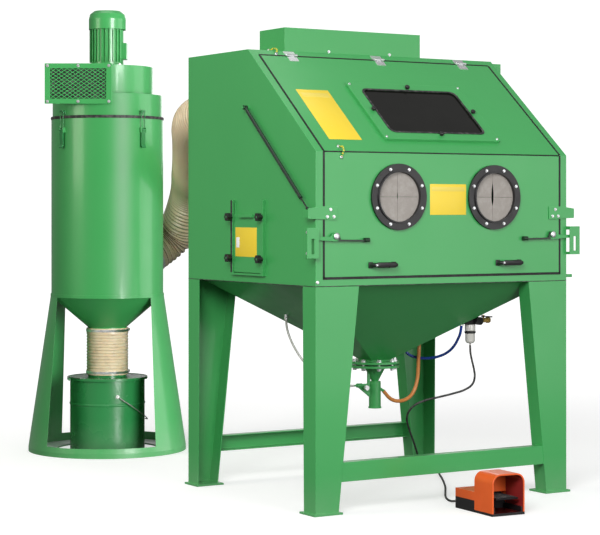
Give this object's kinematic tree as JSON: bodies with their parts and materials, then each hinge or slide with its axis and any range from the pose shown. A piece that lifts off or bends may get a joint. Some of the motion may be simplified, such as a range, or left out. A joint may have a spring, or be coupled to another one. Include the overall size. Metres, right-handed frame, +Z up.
{
  "type": "sandblast cabinet",
  "caption": "Free-standing suction blast cabinet with lifting hood, arm ports and window on a four-leg stand, with foot pedal and ducted cartridge dust collector.",
  "frame": {"origin": "centre of the four anchor holes of the cabinet's stand, on the floor", "axes": "+X to the operator's right, +Y to the back of the cabinet, +Z up"},
  "size_m": [1.4829, 3.0603, 2.169],
  "materials": {
    "green_paint": "satin powder coat",
    "green_paint_dark": "gloss enamel",
    "zinc_steel": "bright zinc",
    "black_plastic": "moulded, fine grain",
    "black_rubber": "matt",
    "grey_rubber": "matt, dusty",
    "window_glass": "clear, dark behind",
    "brass": "turned",
    "orange_plastic": "moulded",
    "orange_rubber": "satin",
    "blue_plastic": "extruded",
    "clear_plastic": "milky",
    "duct_fabric": "ribbed, translucent",
    "filter_felt": "needled felt",
    "bare_steel": "plain"
  },
  "bodies": {
    "root": {"side_walls": "green_paint", "roof_and_back": "green_paint", "door_frame": "green_paint", "hood_seal": "black_rubber", "hopper": "green_paint", "front_stand": "green_paint", "rear_stand": "green_paint", "light_box": "green_paint", "work_grate": "bare_steel", "blast_gun": "bare_steel", "intake_box": "green_paint", "latch_keepers": "green_paint", "hinge_leaves": "zinc_steel", "frame_bolts": "zinc_steel", "hatch_knobs": "black_plastic", "media_valve": "green_paint", "regulator_body": "black_plastic", "regulator_bowl": "zinc_steel", "ball_valve_body": "brass", "pedal_base": "black_plastic", "pedal_guard": "orange_plastic", "collector_body": "green_paint", "collector_skirt": "green_paint", "filter_cartridge": "filter_felt", "dust_sleeve": "duct_fabric", "hose_fittings": "zinc_steel", "dust_bucket": "green_paint_dark", "bucket_lid": "green_paint_dark", "dust_duct": "duct_fabric", "siphon_hose": "orange_rubber", "air_hose": "blue_plastic", "metering_hose": "clear_plastic", "pedal_hose": "black_rubber"},
    "hood": {"window_lid": "green_paint", "front_panel": "green_paint", "window_frame": "green_paint", "window_glass": "window_glass", "port_rings": "black_plastic", "arm_membranes": "grey_rubber", "hood_bolts": "zinc_steel", "pull_handles": "black_plastic", "strut_brackets": "green_paint", "hinge_flaps": "zinc_steel"},
    "hatch": {"side_hatch": "green_paint"},
    "latch_left": {"latch_left": "green_paint"},
    "latch_right": {"latch_right": "green_paint"},
    "strut_tubes": {"strut_tubes": "green_paint_dark"},
    "strut_rods": {"strut_rods": "zinc_steel"},
    "metering_screw": {"metering_screw": "zinc_steel"},
    "regulator_knob": {"regulator_knob": "black_plastic"},
    "ball_valve_lever": {"ball_valve_lever": "black_plastic"},
    "pedal_treadle": {"pedal_treadle": "black_plastic"},
    "collector_top": {"collector_lid": "green_paint", "fan_motor": "green_paint"},
    "fan_impeller": {"fan_impeller": "bare_steel"},
    "toggle_left": {"toggle_left": "green_paint_dark"},
    "toggle_right": {"toggle_right": "green_paint_dark"},
    "toggle_rear": {"toggle_rear": "green_paint_dark"},
    "bucket_bail": {"bucket_bail": "bare_steel"},
    "ring_lever": {"ring_lever": "bare_steel"}
  },
  "joints": [
    {"name": "hood_hinge", "type": "hinge", "parent": "root", "child": "hood", "pos_m": [0, -0.02792, 1.82556], "axis": [-1, 0, 0], "range_deg": [0, 60]},
    {"name": "strut_swing", "type": "hinge", "parent": "root", "child": "strut_tubes", "pos_m": [0, 0, 1.605], "axis": [-1, 0, 0], "range_deg": [0, 62]},
    {"name": "strut_slide", "type": "slide", "parent": "strut_tubes", "child": "strut_rods", "axis": [0, -0.7579, -0.6524], "range_m": [0, 0.225]},
    {"name": "latch_left_turn", "type": "hinge", "parent": "hood", "child": "latch_left", "pos_m": [-0.54, -0.527, 1.084], "axis": [0, -1, 0], "range_deg": [0, 60]},
    {"name": "latch_right_turn", "type": "hinge", "parent": "hood", "child": "latch_right", "pos_m": [0.54, -0.527, 1.084], "axis": [0, 1, 0], "range_deg": [0, 60]},
    {"name": "hatch_slide", "type": "slide", "parent": "root", "child": "hatch", "axis": [0, 0, 1], "range_m": [0, 0.235]},
    {"name": "metering_turn", "type": "hinge", "parent": "root", "child": "metering_screw", "pos_m": [-0.058, -0.02, 0.43], "axis": [0, -1, 0], "range_deg": [0, 330]},
    {"name": "regulator_turn", "type": "hinge", "parent": "root", "child": "regulator_knob", "pos_m": [0.354, -0.26, 0.714], "axis": [0, -1, 0], "range_deg": [-180, 180]},
    {"name": "ball_valve_turn", "type": "hinge", "parent": "root", "child": "ball_valve_lever", "pos_m": [0.404, -0.23, 0.73], "axis": [0, 0, 1], "range_deg": [0, 90]},
    {"name": "pedal_press", "type": "hinge", "parent": "root", "child": "pedal_treadle", "pos_m": [0.03639, -0.73505, 0.06], "axis": [0.9976, -0.0698, 0], "range_deg": [0, 8], "stiffness_Nm_per_rad": 25, "springref_deg": -3.44},
    {"name": "collector_lift", "type": "slide", "parent": "root", "child": "collector_top", "axis": [0, 0, 1], "range_m": [0, 0.25]},
    {"name": "fan_turn", "type": "hinge", "parent": "collector_top", "child": "fan_impeller", "pos_m": [-0.395, 1.78, 1.8], "axis": [0, 0, 1], "continuous": true},
    {"name": "bail_swing", "type": "hinge", "parent": "root", "child": "bucket_bail", "pos_m": [-0.395, 1.78, 0.275], "axis": [-0.1908, -0.9816, 0], "range_deg": [0, 70]},
    {"name": "ring_lever_turn", "type": "hinge", "parent": "root", "child": "ring_lever", "pos_m": [-0.59988, 1.78715, 0.364], "axis": [0, 0, -1], "range_deg": [0, 100]},
    {"name": "toggle_left_swing", "type": "hinge", "parent": "root", "child": "toggle_left", "pos_m": [-0.67367, 1.71566, 1.572], "axis": [-0.225, 0.9744, 0], "range_deg": [0, 110]},
    {"name": "toggle_right_swing", "type": "hinge", "parent": "root", "child": "toggle_right", "pos_m": [-0.34043, 1.49926, 1.572], "axis": [-0.9816, -0.1908, 0], "range_deg": [0, 110]},
    {"name": "toggle_rear_swing", "type": "hinge", "parent": "root", "child": "toggle_rear", "pos_m": [-0.22288, 2.00841, 1.572], "axis": [0.7986, -0.6018, 0], "range_deg": [0, 110]}
  ],
  "couplings": [
    {"joint": "strut_swing", "follows": "hood_hinge", "ratio": 1.0147},
    {"joint": "strut_slide", "follows": "hood_hinge", "m_per_rad": 0.212}
  ]
}
